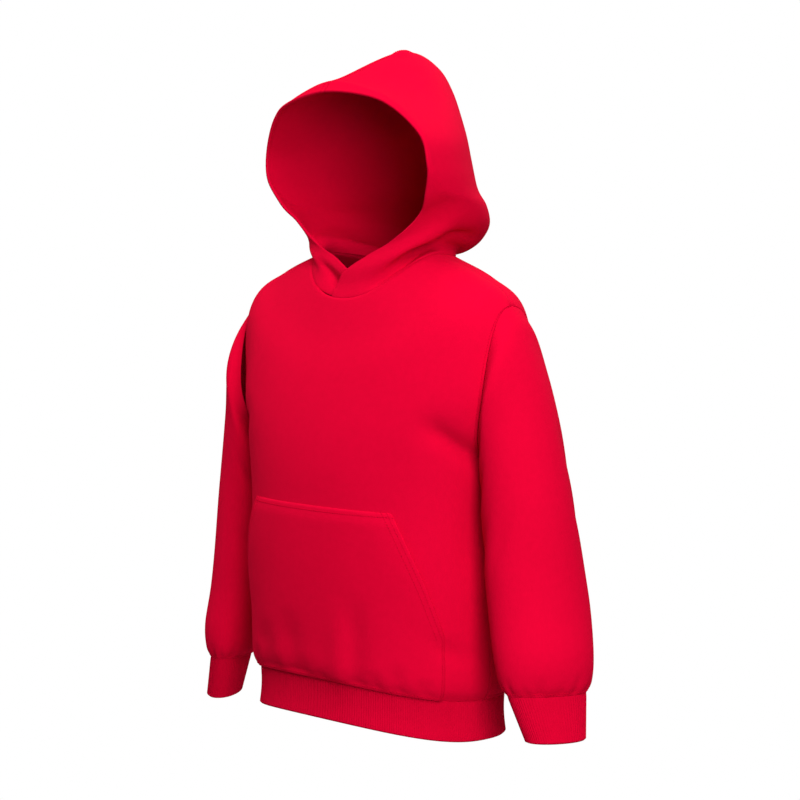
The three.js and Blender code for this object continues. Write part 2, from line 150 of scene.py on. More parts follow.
def crease_depth(u, v, creases):
    """How far the creases move each point out of the cloth. u and v are where it lies."""
    moved = np.zeros(np.shape(u))
    for u1, v1, u2, v2, width, depth, fading in creases:
        du, dv = u2 - u1, v2 - v1
        t = np.clip(((u - u1) * du + (v - v1) * dv) / (du * du + dv * dv), 0, 1)
        away = np.hypot(u - u1 - t * du, v - v1 - t * dv) / width
        fade = smooth_step(t, 0, crease_fade) * (smooth_step(1 - t, 0, crease_fade) if fading == 2 else 1)
        moved += depth * fade * np.exp(-away * away)
    return moved


body_table = with_ends(body_rings)
small_angle, small_step = 0.5, 0.02  # how far on either side of a point its slopes are measured
flat_at_seam = 0.6  # the creases rise from nothing over this share of the first ring's height


def body_point(angle, at):
    """A point of the body's surface with its creases, and the outward normal there."""
    def bare(a, r):
        return ring_point(row_at(body_table, r), a)
    angle, at = np.broadcast_arrays(np.asarray(angle, float), np.asarray(at, float))
    point = bare(angle, at)
    round_it = bare(angle + small_angle, at) - bare(angle - small_angle, at)
    up_it = bare(angle, at + small_step) - bare(angle, at - small_step)
    normal = unit(np.cross(up_it, round_it))
    x, z = point[..., 0], point[..., 2]
    in_front = np.sin(np.radians(angle)) > 0
    crease = np.where(in_front, crease_depth(x, z, front_creases), crease_depth(x, z, back_creases))
    return point + normal * (crease * smooth_step(at, 0, flat_at_seam))[..., None], normal


def armhole(turn):
    """Where the armhole passes: turn 0 is the armpit, 90 the front, 180 the shoulder and 270 the back."""
    s = np.sin(np.radians(turn))
    at = armpit_ring + (shoulder_ring - armpit_ring) * (1 - np.cos(np.radians(turn))) / 2
    return np.where(s > 0, armhole_front, armhole_back) * s, at


def stations(count, crowd):
    """Places from 0 to 1 that stand closer together at both ends, where the seams are."""
    u = np.linspace(0, 1, count + 1)
    return u - crowd * np.sin(2 * np.pi * u) / (2 * np.pi)


def lengths_along(grid, axis):
    step = np.linalg.norm(np.diff(grid, axis=axis), axis=-1)
    start = np.zeros_like(np.take(step, [0], axis=axis))
    return np.cumsum(np.concatenate([start, step], axis), axis)


def edge_distances(grid):
    """How far each point is from the grid's four edges, along the cloth."""
    up, over = lengths_along(grid, 0), lengths_along(grid, 1)
    return {"low": up, "high": up[-1:] - up, "first": over, "last": over[:, -1:] - over}


def grid_normals(grid, closed, away):
    """Unit normals of a grid of points, all on the side that faces away from the point away."""
    up = np.gradient(grid, axis=0)
    over = np.roll(grid, -1, 1) - np.roll(grid, 1, 1) if closed else np.gradient(grid, axis=1)
    normals = unit(np.cross(up, over))
    return normals * np.sign(np.sum(normals * (grid - np.array(away, float))))


def hung(points, share):
    """The points, hung lower on the wearer's left. share is how much of the lean each row takes."""
    lowered = points.copy()
    lowered[..., 2] -= body_lean * np.reshape(share, (-1, 1)) * points[..., 0]
    return lowered


def numbered_faces(rows, columns, closed):
    """The quads of a grid, as rows and columns of their four corners."""
    wide = columns if closed else columns - 1
    r, c = np.meshgrid(np.arange(rows - 1), np.arange(wide), indexing="ij")
    r, c = r.ravel(), c.ravel()
    return np.stack([r, r, r + 1, r + 1], 1), np.stack([c, c + 1, c + 1, c], 1)


def make_object(name, points, faces, uvs=None):
    mesh = bpy.data.meshes.new(name)
    mesh.from_pydata((points * millimetre).tolist(), [], faces.tolist())
    if uvs is not None:
        mesh.uv_layers.new(name="cut").data.foreach_set("uv", (uvs * millimetre).ravel())
    mesh.polygons.foreach_set("use_smooth", [True] * len(mesh.polygons))
    piece = bpy.data.objects.new(name, mesh)
    bpy.context.scene.collection.objects.link(piece)
    return piece


def flat_places(grid, closed):
    """Where each point lies on the flat cut. A closed grid has one more column, where its cut ends."""
    middle = slice(grid.shape[1] // 2, grid.shape[1] // 2 + 1)
    up, over = lengths_along(grid, 0), lengths_along(grid, 1)
    places = np.stack(np.broadcast_arrays(over - over[:, middle], up[:, middle]), -1)
    if closed:
        closing = np.linalg.norm(grid[:, :1] - grid[:, -1:], axis=-1)
        end = places[:, -1:] + np.stack([closing, np.zeros(closing.shape)], -1)
        places = np.concatenate([places, end], 1)
    return places


def free_edges(outer, closed, round_by):
    """The grid's edges as loops: each one's point numbers, how far they bulge out, and which way it runs."""
    number = np.arange(outer.shape[0] * outer.shape[1]).reshape(outer.shape[:2])
    if closed:
        return [(number[row], unit(outer[row] - outer[next_row]) * round_by.get(edge, 0), way)
                for edge, row, next_row, way in (("low", 0, 1, 1), ("high", -1, -2, -1))]
    onward, back = slice(None), slice(None, None, -1)
    sides = [("low", (0, onward), (1, onward)), ("last", (onward, -1), (onward, -2)),
             ("high", (-1, back), (-2, back)), ("first", (back, 0), (back, 1))]
    ids = np.concatenate([number[here][:-1] for _, here, _ in sides])
    push = np.concatenate([(unit(outer[here] - outer[next_to]) * round_by.get(edge, 0))[:-1]
                           for edge, here, next_to in sides])
    return [(ids, push, 1)]


def wall(name, outer, inner, closed, round_by):
    """A closed wall from two grids of points. Between them, each edge bulges out by its own round_by."""
    rows, columns = outer.shape[:2]
    count = rows * columns
    places = flat_places(outer, closed)
    r, c = numbered_faces(rows, columns, closed)
    quads, quad_places = r * columns + c % columns, places[r, c]
    points = [outer.reshape(-1, 3), inner.reshape(-1, 3)]
    faces = [quads, (count + quads)[:, ::-1]]
    uvs = [quad_places, quad_places[:, ::-1]]
    point_places = places[:, :columns].reshape(-1, 2)
    start = 2 * count
    for ids, push, way in free_edges(outer, closed, round_by):
        points.append((points[0][ids] + points[1][ids]) / 2 + push)
        middle_ids = start + np.arange(len(ids))
        start += len(ids)
        near, far = point_places[ids], np.roll(point_places[ids], -1, 0)
        for a, b in ((ids, middle_ids), (middle_ids, ids + count)):
            faces.append(np.stack([np.roll(a, -1), a, b, np.roll(b, -1)], 1)[:, ::way])
            uvs.append(np.stack([far, near, near, far], 1)[:, ::way])
    points, faces, uvs = np.concatenate(points), np.concatenate(faces), np.concatenate(uvs)
    a, b, c, d = (points[faces[:, k]] for k in range(4))
    volume = np.sum(a * np.cross(b, c)) + np.sum(a * np.cross(c, d))
    if volume < 0:
        faces, uvs = faces[:, ::-1], uvs[:, ::-1]
    return make_object(name, points, faces, uvs)


class Cloth:
    """One piece of cloth: its object, and the outer points and normals that its sewing follows."""

    def __init__(self, name, grid, thickness, away, share=0, closed=False, seams=(), folds=(), mirrored=False,
                 normals=None, hollow=0):
        normals = grid_normals(grid, closed, away) if normals is None else normals
        from_edge = edge_distances(grid)
        pressed = sum((seam_press * np.exp(-(from_edge[edge] / seam_press_width) ** 2) for edge in seams),
                      np.zeros(grid.shape[:2]))
        outer = grid - normals * (pressed + hollow)[..., None]
        inner = grid - normals * (thickness - seam_press_inside * pressed)[..., None]
        side = np.array([-1, 1, 1]) if mirrored else np.ones(3)
        self.outer, self.normals = hung(outer * side, share), normals * side
        self.closed = closed
        round_by = {edge: fold_bulge * thickness for edge in folds}
        self.object = wall(name, self.outer, hung(inner * side, share), closed, round_by)


low_panel_rows, armhole_rows, shoulder_rows = 75, 57, 26
panel_columns, panel_crowd = 136, 0.6
body_middle = (0, 0, -200)  # a point inside the body, from which its outside faces away


def panel_grid(facing):
    """The outer points of the front (facing 1) or the back (-1), and its normals."""
    turns = np.linspace(0, 180, armhole_rows)
    reach, through = armhole(facing * turns)
    low = np.linspace(0, armpit_ring, low_panel_rows + 1)[:-1]
    at = np.concatenate([low, through, np.linspace(shoulder_ring, neck_ring, shoulder_rows + 1)[1:]])
    edge = np.zeros(len(at))
    edge[low_panel_rows : low_panel_rows + armhole_rows] = np.abs(reach)
    across = stations(panel_columns, panel_crowd)
    angle = facing * (edge[:, None] + (180 - 2 * edge[:, None]) * across)
    points, normals = body_point(angle, at[:, None])
    joined = edge < 1
    for column in (0, -1):
        points[joined, column, 1] -= facing * seam_gap / 2
        normals[joined, column, 1] = 0
    normals[[0, -1], :, 2] = 0
    return points, unit(normals)


def body_panel(name, facing):
    points, normals = panel_grid(facing)
    return Cloth(name, points, fleece_wall, body_middle, share=1, seams=("low", "high", "first", "last"),
                 normals=normals)


front = body_panel("front_cloth", 1)
back = body_panel("back_cloth", -1)


class Shade:
    """A socket of a node, so that sums and products of sockets read as plain sums."""

    def __init__(self, tree, socket=None):
        self.tree, self.socket = tree, socket

    def node(self, kind, settings=None, inputs=None, output=0):
        """A new node: its settings first, then the values or links of its sockets."""
        made = self.tree.nodes.new(kind)
        for key, value in (settings or {}).items():
            if key == "stops":
                for stop, (position, colour) in zip(made.color_ramp.elements, value):
                    stop.position, stop.color = position, (*colour, 1)
            else:
                setattr(made, key, value)
        for key, value in (inputs or {}).items():
            if isinstance(value, Shade):
                self.tree.links.new(value.socket, made.inputs[key])
            else:
                made.inputs[key].default_value = value
        return Shade(self.tree, made.outputs[output]) if len(made.outputs) else None

    def math(self, operation, *values):
        return self.node("ShaderNodeMath", {"operation": operation}, dict(enumerate(values)))

    def __add__(self, other):
        return self.math("ADD", self, other)

    def __radd__(self, other):
        return self.math("ADD", other, self)

    def __sub__(self, other):
        return self.math("SUBTRACT", self, other)

    def __rsub__(self, other):
        return self.math("SUBTRACT", other, self)

    def __mul__(self, other):
        return self.math("MULTIPLY", self, other)

    def __rmul__(self, other):
        return self.math("MULTIPLY", other, self)

    def __truediv__(self, other):
        return self.math("DIVIDE", self, other)


nap_relief, mottled_relief = 0.00022, 0.00035  # in metres, as are a knit's sizes and its stitches' relief


def knit_material(name, colours, wale, course, stitch_relief):
    """Red knit: V stitches, one wale wide and one course high, under a soft nap, in two close reds."""
    material = bpy.data.materials.new(name)
    material.use_nodes = True
    tree = material.node_tree
    tree.nodes.clear()
    made = Shade(tree)
    base, deep = colours
    cut = made.node("ShaderNodeUVMap", {"uv_map": "cut"})
    across = made.node("ShaderNodeSeparateXYZ", inputs={0: cut}, output=0) / wale
    along = made.node("ShaderNodeSeparateXYZ", inputs={0: cut}, output=1) / course
    leg = made.math("ABSOLUTE", made.math("FRACT", across) - 0.5) * 2
    loops = made.math("SINE", (along + leg * 0.9) * (2 * math.pi)) * 0.5 + 0.5
    legs = 1 - made.math("POWER", made.math("ABSOLUTE", leg * 2 - 1), 2.0)
    stitches = loops * legs
    place = made.node("ShaderNodeTexCoord", output="Object")
    broad = made.node("ShaderNodeTexNoise", inputs={"Vector": place, "Scale": 9.0, "Detail": 3.0})
    mottled = made.node("ShaderNodeTexNoise", inputs={"Vector": place, "Scale": 160.0, "Detail": 4.0})
    nap = made.node("ShaderNodeTexNoise", inputs={"Vector": place, "Scale": 1400.0, "Detail": 2.0})
    shade = broad * 0.45 + mottled * 0.35 + stitches * 0.12 + nap * 0.2
    colour = made.node("ShaderNodeValToRGB", {"stops": [(0.3, deep), (0.8, base)]}, {0: shade})
    relief = stitches * stitch_relief + nap * nap_relief + mottled * mottled_relief
    bump = made.node("ShaderNodeBump", inputs={"Strength": 0.55, "Distance": 1.0, "Height": relief})
    finish = made.node("ShaderNodeBsdfPrincipled", inputs={
        "Base Color": colour, "Roughness": 0.84 + mottled * 0.12, "Normal": bump,
        "Specular IOR Level": 0.01, "Sheen Weight": 0.08, "Sheen Roughness": 0.5,
        "Sheen Tint": (1.0, 0.01, 0.06, 1),
    })
    made.node("ShaderNodeOutputMaterial", inputs={"Surface": finish})
    return material


fleece_reds = (0.62, 0.0008, 0.027), (0.54, 0.0006, 0.022)
rib_reds = (0.60, 0.0008, 0.026), (0.50, 0.0006, 0.020)
fleece = knit_material("red fleece", fleece_reds, wale=0.0013, course=0.00105, stitch_relief=0.00009)
thread = knit_material("red thread", rib_reds, wale=0.0004, course=0.0004, stitch_relief=0.00012)

stitch_pitch, stitch_length, stitch_radius = 3.0, 2.5, 0.36
stitch_rise = 0.45  # how much of its radius the middle of a stitch stands above the cloth
single_row = 3.0  # how far a row of stitches lies from the seam or edge beside it


def stitching_tree():
    """Short rounded stitches set end to end along a line of points."""
    tree = bpy.data.node_groups.new("stitching", "GeometryNodeTree")
    kinds = {"Line": "Geometry", "Pitch": "Float", "Length": "Float", "Radius": "Float", "Thread": "Material"}
    for name, kind in kinds.items():
        tree.interface.new_socket(name, in_out="INPUT", socket_type="NodeSocket" + kind)
    tree.interface.new_socket("Stitches", in_out="OUTPUT", socket_type="NodeSocketGeometry")
    made = Shade(tree)
    given = tree.nodes.new("NodeGroupInput")
    line, pitch, length, radius, finish = (Shade(tree, given.outputs[name]) for name in kinds)
    curve = made.node("GeometryNodeMeshToCurve", inputs={"Mesh": line})
    places = made.node("GeometryNodeResampleCurve", {"mode": "LENGTH"}, {"Curve": curve, "Length": pitch})
    tangent = made.node("GeometryNodeInputTangent")
    turned = made.node("FunctionNodeAlignRotationToVector", {"axis": "Z"}, {"Vector": tangent})
    ball = made.node("GeometryNodeMeshUVSphere", inputs={"Segments": 6, "Rings": 4, "Radius": 1.0})
    size = made.node("ShaderNodeCombineXYZ", inputs={"X": radius, "Y": radius, "Z": length / 2})
    set_down = made.node("GeometryNodeInstanceOnPoints", inputs={
        "Points": places, "Instance": ball, "Rotation": turned, "Scale": size})
    real = made.node("GeometryNodeRealizeInstances", inputs={0: set_down})
    finished = made.node("GeometryNodeSetMaterial", inputs={0: real, "Material": finish})
    made.node("NodeGroupOutput", inputs={0: finished})
    return tree


stitching = stitching_tree()


def sewn(name, lines):
    """One piece that holds every row of stitches given as lines of points."""
    mesh = bpy.data.meshes.new(name)
    points = np.concatenate(lines)
    ends = np.cumsum([len(line) for line in lines]) - 1
    edges = [(k, k + 1) for k in range(len(points) - 1) if k not in ends]
    mesh.from_pydata((points * millimetre).tolist(), edges, [])
    piece = bpy.data.objects.new(name, mesh)
    bpy.context.scene.collection.objects.link(piece)
    modifier = piece.modifiers.new("stitching", "NODES")
    modifier.node_group = stitching
    given = {"Pitch": stitch_pitch, "Length": stitch_length, "Radius": stitch_radius}
    for item in stitching.interface.items_tree:
        if item.name in given:
            modifier[item.identifier] = given[item.name] * millimetre
        elif item.name == "Thread":
            modifier[item.identifier] = thread
    bpy.context.view_layer.update()
    seen = piece.evaluated_get(bpy.context.evaluated_depsgraph_get())
    piece.data = bpy.data.meshes.new_from_object(seen)
    piece.modifiers.clear()
    piece.data.polygons.foreach_set("use_smooth", [True] * len(piece.data.polygons))
    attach(piece, "root")
    return piece


def line_beside(cloth, edge, inset, low=0, high=None):
    """The line on a piece's face that lies inset from an edge, from its place low to its place high."""
    grid, normals = cloth.outer, cloth.normals
    if edge in ("first", "last"):
        grid, normals = grid.swapaxes(0, 1), normals.swapaxes(0, 1)
    if edge in ("high", "last"):
        grid, normals = grid[::-1], normals[::-1]
    reach = lengths_along(grid, 0)
    face = grid + normals * stitch_rise * stitch_radius
    line = np.array([[np.interp(inset, reach[:, k], face[:, k, axis]) for axis in range(3)]
                     for k in range(grid.shape[1])])[low:high]
    return np.concatenate([line, line[:1]]) if cloth.closed else line


def dress(cloth, material, replaced, sewing=()):
    """Gives a piece its material and its place in the frame, and hides the part of model.glb that it
    replaces.
    """
    piece = cloth.object
    piece.data.materials.append(material)
    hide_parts(replaced)
    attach(piece, "root")


def panel_sewing(name, cloth, waist_parts):
    """Stitches round the armholes, and in parts above the waistband."""
    rows = [line_beside(cloth, edge, single_row, low_panel_rows, low_panel_rows + armhole_rows)
            for edge in ("first", "last")]
    rows += [line_beside(cloth, "low", single_row, *part) for part in waist_parts]
    return sewn(name, rows)


pocket_from, pocket_to = 21, 116  # between these columns the pocket hides the front's row above the waistband
front_sewing = panel_sewing("front_stitches", front, [(0, pocket_from), (pocket_to, None)])
back_sewing = panel_sewing("back_stitches", back, [(0, None)])
dress(front, fleece, "front", [front_sewing])
dress(back, fleece, "back", [back_sewing])

# Sleeves: one panel of the same fleece each, sewn into a tube under the arm and set into the armhole. The
# end is eased into the narrower cuff, so the cloth puffs out just above it.
sleeve_gap = -0.15
sleeve_down, sleeve_around, sleeve_crowd = 132, 112, 0.6
sleeve_line = np.array([140.0])  # how far round the rows are spaced evenly
sleeve_middle = (195, 0, -300)
lean_turns_by = 3  # the ring where the sleeve's share of the body's lean has turned to the cuff's
cuff_share = -0.3
gather_start, gather_hold = 4, 0.3  # gathers rise over this length, and hold over this share of their own
measured_places = 600  # how finely a line is measured before it is divided

# Rings below the armhole: centre x, y and z, half depth from front to back, half width, tilt, yaw.
sleeve_rings = [
    (175, -2, -146, 47, 58, 75, 0),
    (180.5, 0, -190, 46, 44, 50, 8),
    (187.5, 2, -245, 47, 37.5, 14, 18),
    (197, 2, -312, 50, 36, 4, 25),
    (203, 2, -352, 51, 36, 3, 26),
    (211, -2, -391, 49.5, 34, 2, 28),
    (215, -4, -415, 46, 28.5, 1, 29),
    (218, -6, -426, 39.5, 20, 0, 30),
]


def turned_ring(ring, turn):
    """Points on a sleeve's ring: turn 0 faces the body, 90 the front, 180 outwards and 270 the back."""
    x, y, z, deep, wide, tilt, yaw = np.moveaxis(np.asarray(ring, float), -1, 0)
    across, forward = -wide * np.cos(np.radians(turn)), deep * np.sin(np.radians(turn))
    out, up = across * np.cos(np.radians(tilt)), across * np.sin(np.radians(tilt))
    c, s = np.cos(np.radians(-yaw)), np.sin(np.radians(-yaw))
    return np.stack([x + out * c + forward * s, y + out * s - forward * c, z + up], -1)


def sleeve_grid(at_rows, turns):
    angle, at = armhole(turns)
    seam, _ = body_point(angle, at)
    rings = [seam + [sleeve_gap, 0, 0]] + [turned_ring(ring, turns) for ring in sleeve_rings]
    return row_at(with_ends(rings), at_rows)


def evenly(line, low, high, count, crowd):
    """Values between low and high that divide a line of points evenly, closer together at both ends."""
    value = np.linspace(low, high, measured_places)
    length = lengths_along(line(value)[None], 1)[0]
    return np.interp(stations(count, crowd) * length[-1], length, value)


# Gathers where a sleeve is eased into its cuff: how far round, half width in degrees, depth and length.
cuff_gathers = [
    (14, 6, -1.3, 20), (41, 5, -1.0, 16), (63, 7, -1.5, 26), (92, 5, -1.1, 18), (112, 6, -1.4, 22),
    (139, 5, -1.0, 15), (158, 7, -1.5, 24), (187, 6, -1.2, 19), (209, 5, -1.4, 25), (238, 7, -1.2, 18),
    (262, 5, -1.5, 27), (287, 6, -1.1, 17), (316, 7, -1.4, 22), (341, 5, -1.0, 16),
]


def gathering(place, from_seam, rows):
    """How far short gathers beside a seam move each point out of the cloth."""
    moved = np.zeros(np.broadcast(place, from_seam).shape)
    for middle, width, depth, length in rows:
        away = ((place - middle + 180) % 360 - 180) / width
        rise = smooth_step(from_seam, 0, gather_start)
        fall = smooth_step(from_seam, gather_hold * length, length)
        moved += depth * np.exp(-away * away) * rise * (1 - fall)
    return moved


def sleeve(name, mirrored, creases):
    turns = np.arange(sleeve_around) * 360 / sleeve_around
    at_rows = evenly(lambda at: sleeve_grid(at, sleeve_line)[:, 0], 0, len(sleeve_rings),
                     sleeve_down, sleeve_crowd)
    grid = sleeve_grid(at_rows, turns)
    normals = grid_normals(grid, True, sleeve_middle)
    down = lengths_along(grid, 0)
    depth = crease_depth(np.broadcast_to(turns, down.shape), down, creases)
    depth = depth + gathering(turns, down[-1:] - down, cuff_gathers)
    grid = grid + normals * depth[..., None]
    share = 1 + (cuff_share - 1) * smooth_step(at_rows, 0, lean_turns_by)
    normals = grid_normals(grid, True, sleeve_middle)
    normals[-1, :, 2] = 0
    return Cloth(name, grid, fleece_wall, sleeve_middle, share=share, closed=True, seams=("low", "high"),
                 mirrored=mirrored, normals=unit(normals))


# Folds in a sleeve: how far round in degrees and how far down from the shoulder, at one end and at the other,
# width, depth and fading.
left_sleeve_folds = [
    (150, 20, 250, 20, 14, 2.6, 2),
    (48, 60, 82, 96, 13, -2.4, 2),
    (52, 120, 96, 158, 15, -1.8, 2),
    (96, 176, 142, 205, 15, -1.3, 2),
    (205, 110, 262, 150, 15, -2.2, 2),
    (216, 160, 270, 188, 13, -1.8, 2),
    (300, 90, 345, 120, 14, -2.2, 2),
]
right_sleeve_folds = [
    (72, 13, 165, 18, 13, 3, 2),
    (160, 20, 250, 20, 14, 2.4, 2),
    (44, 66, 86, 92, 12, -2.2, 2),
    (40, 132, 92, 176, 16, -2.0, 2),
    (150, 150, 205, 178, 15, -1.5, 2),
    (210, 120, 258, 146, 14, -2.0, 2),
    (226, 172, 276, 210, 14, -1.8, 2),
    (296, 84, 340, 126, 15, -2.3, 2),
]
sleeve_left = sleeve("sleeve_left_cloth", False, left_sleeve_folds)
sleeve_right = sleeve("sleeve_right_cloth", True, right_sleeve_folds)
for side, cloth in (("left", sleeve_left), ("right", sleeve_right)):
    above_cuff = sewn(f"sleeve_{side}_stitches", [line_beside(cloth, "high", single_row)])
    dress(cloth, fleece, f"sleeve_{side}",
          [above_cuff])

# Hood: two halves in double fleece, joined by one seam over the crown and down the back, and sewn round the
# neckline. The left front edge crosses over the right one at the throat.
double_wall = 3.0
band_gap = -0.2
hood_across, hood_across_crowd = 104, 0.55
hood_up, hood_up_crowd = 150, 0.5
hood_line = 0.35  # how far across the rows are spaced evenly
hood_middle = (0, 0, 60)
hood_lean_ends = 5  # the ring above which the hood stands straight
fold_reach = 7  # the folds fade out over this length beside the neck seam
cross_inset = 4.2  # how far the right front edge is drawn in, under the left one
cross_side, cross_front, cross_height = (-46, -17), (10, 30), (-45, -12)  # over what stretch of -x, -y and -z

# Folds in the hood: places across and up that each passes, width, depth and fading.
left_hood_folds = [
    ([(0.10, 0.35), (0.20, 0.35), (0.30, 0.4), (0.37, 0.55),
      (0.45, 1.0), (0.52, 2.0), (0.62, 2.4), (0.74, 2.5)], 7.5, -11, 2),
    ([(0.08, 1.3), (0.18, 1.4), (0.27, 1.7), (0.33, 2.3), (0.38, 3.2), (0.42, 4.2)], 10, 3.5, 2),
    ([(0.42, 10.7), (0.50, 10.85), (0.58, 10.7)], 9, 3, 2),
]
right_hood_folds = [
    ([(0.16, 2.3), (0.13, 2.0), (0.09, 1.4), (0.057, 0.93), (0.03, 0.6)], 6, -5, 2),
    ([(0.34, 0.5), (0.42, 1.0), (0.50, 1.9), (0.58, 2.4), (0.66, 2.5)], 13, -3, 2),
]

# The body's columns, and then the angle where the ring leaves the face opening, how far it arches, and how
# late that arch begins.
hood_rings = [
    (*body_rings[neck_ring], 98, 0, 1.3),
    (75, 4, 60, 66, 10, -34, -2, 2.3, 95, 0, 1.3),
    (86, 4, 58, 82, 15, -18, 0, 2.3, 89, 0, 1.3),
    (94, 8, 57, 92, 22, -5, 10, 2.3, 76, 0, 1.3),
    (101, 10, 58, 95, 32, 3, 28, 2.3, 61, 0, 1.3),
    (107, 0, 54, 93, 46, 13, 50, 2.3, 40, 0, 1.3),
    (111, -26, 38, 105, 57, 27, 70, 2.35, 27, 0, 1.3),
    (113, -47, 32, 118, 78, 78, 100, 2.4, 10, 0, 1.3),
    (108, -54, 28, 119, 107, 101, 130, 2.4, 8, 3, 1.8),
    (84, -65, 29, 135, 136, 131, 162, 2.4, 12, 11, 2.2),
    (54, -73, 31, 143, 150, 147, 179, 2.4, 12, 24, 1.8),
    (0, -77, 31, 148, 157, 157, 184, 2.4, 12, 37, 1.35),
]
before_crown = hood_rings[-2]
hood_table = with_ends(hood_rings, over=(-before_crown[0], *before_crown[1:]))
crown = len(hood_rings) - 1


def hood_point(across, at):
    ring = row_at(hood_table, at)
    start, arch, late = ring[..., 8], ring[..., 9], ring[..., 10]
    point = ring_point(ring, start - (90 + start) * across)
    point[..., 2] += arch * np.sin(np.pi * np.clip(across, 0, 1)) ** late
    return point


groove_fade, groove_places = 0.4, 120


def groove(grid, line, width, depth, fading):
    """How far a crease along a line of points moves each point of the grid out of the cloth."""
    away = np.linalg.norm(grid[..., None, :] - line, axis=-1)
    t = away.argmin(-1) / (len(line) - 1)
    fade = smooth_step(t, 0, groove_fade) * (smooth_step(1 - t, 0, groove_fade) if fading == 2 else 1)
    return depth * fade * np.exp(-(away.min(-1) / width) ** 2)


def on_hood(places):
    """A smooth line on the hood through places given as how far across and at which ring."""
    across, at = row_at(with_ends(places), np.linspace(0, len(places) - 1, groove_places)).T
    return hood_point(across, at)


def hood_half(name, mirrored, folds):
    at = evenly(lambda value: hood_point(np.full(value.shape, hood_line), value), 0, crown,
                hood_up, hood_up_crowd)
    across, at = np.meshgrid(stations(hood_across, hood_across_crowd), at)
    grid = hood_point(across, at)
    normals = grid_normals(grid, False, hood_middle)
    folded = sum(groove(grid, on_hood(places), *shape) for places, *shape in folds)
    from_seam = smooth_step(lengths_along(grid, 0), 0, fold_reach)
    grid = grid + normals * (folded * from_seam)[..., None]
    normals = grid_normals(grid, False, hood_middle)
    normals[0, :, 2] = 0
    grid[0, :, 2] += band_gap
    for joined in (np.s_[:, -1, 0], np.s_[-1, :, 0]):
        grid[joined] = seam_gap / 2
        normals[joined] = 0
    if mirrored:
        x, y, z = np.moveaxis(grid, -1, 0)
        beside_throat = smooth_step(-x, *cross_side) * smooth_step(-y, *cross_front)
        grid[..., 1] += cross_inset * beside_throat * smooth_step(-z, *cross_height)
    share = 1 - smooth_step(at[:, 0], 0, hood_lean_ends)
    return Cloth(name, grid, double_wall, hood_middle, share=share, seams=("low", "high", "last"),
                 folds=("first",), mirrored=mirrored, normals=unit(normals))


hood_left = hood_half("hood_left_cloth", False, left_hood_folds)
hood_right = hood_half("hood_right_cloth", True, right_hood_folds)
for side, cloth in (("left", hood_left), ("right", hood_right)):
    seam_lines = [line_beside(cloth, edge, single_row) for edge in ("last", "high")]
    along_seam = sewn(f"hood_{side}_stitches", seam_lines)
    dress(cloth, fleece, f"hood_{side}",
          [along_seam])

# Kangaroo pocket: one panel of fleece laid on the front, with a hemmed top, two slanted hand openings that
# stand a little off the front, and its lower edge caught in the waistband seam.
pocket_top, pocket_opening_end = 3.92, 2.25
pocket_top_angle, pocket_low_angle = 36, 63
pocket_lift, pocket_clear = 2.6, 0.3
pocket_tuck = 1.5  # how far the stitches draw its sides and its top down on the front
pocket_up, pocket_across, pocket_crowd = 90, 96, 0.5

# Shares of the opening's height, and of the way from the pocket's middle to its sides.
side_sewn_to, top_sewn_from = 0.12, 0.86
stands_off_from, side_sewn_from = 0.4, 0.965

hem_row, opening_rows = 4, (3.5, 9)  # how far the stitches lie from the top's edge and from an opening's


def pocket_panel():
    at = np.linspace(0, pocket_top, pocket_up)
    slant = np.clip((at - pocket_opening_end) / (pocket_top - pocket_opening_end), 0, 1)
    reach = pocket_low_angle + (pocket_top_angle - pocket_low_angle) * slant
    slant = slant[:, None]
    across = 2 * stations(pocket_across, pocket_crowd) - 1
    points, normals = body_point(90 - reach[:, None] * across, at[:, None])
    normals[0, :, 2] = 0
    normals = unit(normals)
    from_middle = np.abs(across)
    lift = pocket_lift * np.sin(np.pi * slant) * smooth_step(from_middle, stands_off_from, 1)
    sewn_side = (1 - smooth_step(slant, 0, side_sewn_to)) * smooth_step(from_middle, side_sewn_from, 1)
    sewn_top = smooth_step(slant, top_sewn_from, 1)
    lift = lift - pocket_tuck * np.maximum(sewn_side, sewn_top)
    grid = points + normals * (pocket_clear + fleece_wall + lift)[..., None]
    return Cloth("pocket_cloth", grid, fleece_wall, body_middle, share=1, seams=("low",),
                 folds=("first", "last", "high"), normals=normals)


pocket = pocket_panel()
corner_row = round((pocket_up - 1) * pocket_opening_end / pocket_top)
pocket_rows = [line_beside(pocket, "low", single_row), line_beside(pocket, "high", hem_row)]
for side_edge in ("first", "last"):
    pocket_rows.append(line_beside(pocket, side_edge, single_row, 0, corner_row))
    pocket_rows += [line_beside(pocket, side_edge, inset, corner_row) for inset in opening_rows]
dress(pocket, fleece, "pocket",
      [sewn("pocket_stitches", pocket_rows)])

# Cuffs and waistband: fine rib knit, cut double, folded at the free edge and sewn on slightly stretched, so
# they draw the sleeve and the body in.
rib_pitch, rib_height, rib_roundness = 2.5, 0.38, 0.8
columns_a_rib, rib_crowd = 6, 0.6
rib_starts_by, rib_folds_from = 0.05, 0.1  # shares of the band's depth
height_at_fold = 0.35  # the share of its height that a rib keeps at the fold
waistband_length, waistband_depth, waistband_rows = 780, 38, 22
waistband_middle = (0, 0, -450)
waist_draw = 1.2  # how far the waistband draws in halfway down
hem_half, hem_front, hem_back = 138, 98, 91
cuff_length, cuff_depth, cuff_rows = 190, 42, 26
cuff_middle = (223, 0, -445)
rib = knit_material("red rib", rib_reds, wale=0.00125, course=0.00105, stitch_relief=0.00012)


